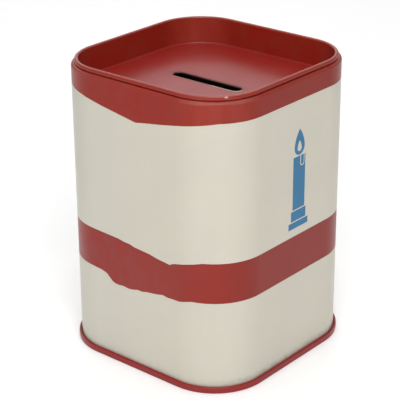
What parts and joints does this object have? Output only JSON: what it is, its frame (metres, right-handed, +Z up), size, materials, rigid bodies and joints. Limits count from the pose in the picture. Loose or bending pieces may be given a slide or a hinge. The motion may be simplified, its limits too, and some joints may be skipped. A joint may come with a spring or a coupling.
{
  "type": "donation box",
  "caption": "Square tinplate collecting box with rounded corners, a double-seamed base and a push-in tray lid with a coin slot.",
  "frame": {"origin": "middle of the footprint, in the plane of the foot seam's lowest face", "axes": "+Z up through the lid, +X and -Y out of the two flat sides seen from the front; the coin slot runs along X"},
  "size_m": [0.0926, 0.0926, 0.1242],
  "materials": {
    "body_print": "satin cream lithographed tinplate with red bands, bare lacquered tinplate inside",
    "base_red": "satin red lacquered tinplate",
    "lid_red": "satin red lacquered tinplate"
  },
  "bodies": {
    "box": {"body_shell": "body_print", "base_plate": "base_red"},
    "lid": {"lid": "lid_red"}
  },
  "joints": [
    {"name": "lid_lift", "type": "slide", "parent": "box", "child": "lid", "axis": [0, 0, 1], "range_m": [0, 0.03]}
  ]
}
